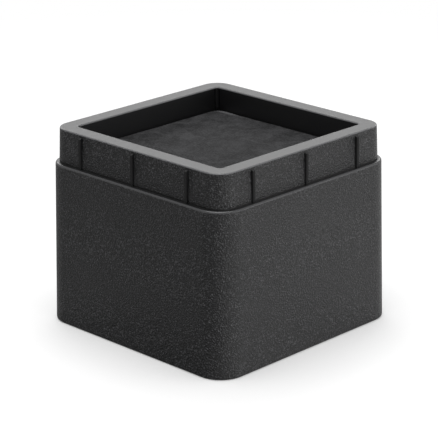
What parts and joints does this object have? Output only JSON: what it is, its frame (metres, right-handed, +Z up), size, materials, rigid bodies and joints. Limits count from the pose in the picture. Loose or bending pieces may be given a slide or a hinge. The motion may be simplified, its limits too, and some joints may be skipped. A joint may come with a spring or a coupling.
{
  "type": "bed riser",
  "caption": "Square stackable furniture riser: hollow moulded block with a collar round a padded leg recess.",
  "frame": {"origin": "centre of the square footprint, on the plane of the floor", "axes": "+Z up through the middle of the leg recess; X and Y are square to the sides, which are all alike"},
  "size_m": [0.114, 0.114, 0.092],
  "materials": {
    "moulded_black_plastic": "fine moulded texture",
    "pad_foam_rubber": "matte, slightly scuffed"
  },
  "bodies": {
    "root": {"riser_shell": "moulded_black_plastic", "recess_pad": "pad_foam_rubber"}
  },
  "joints": []
}
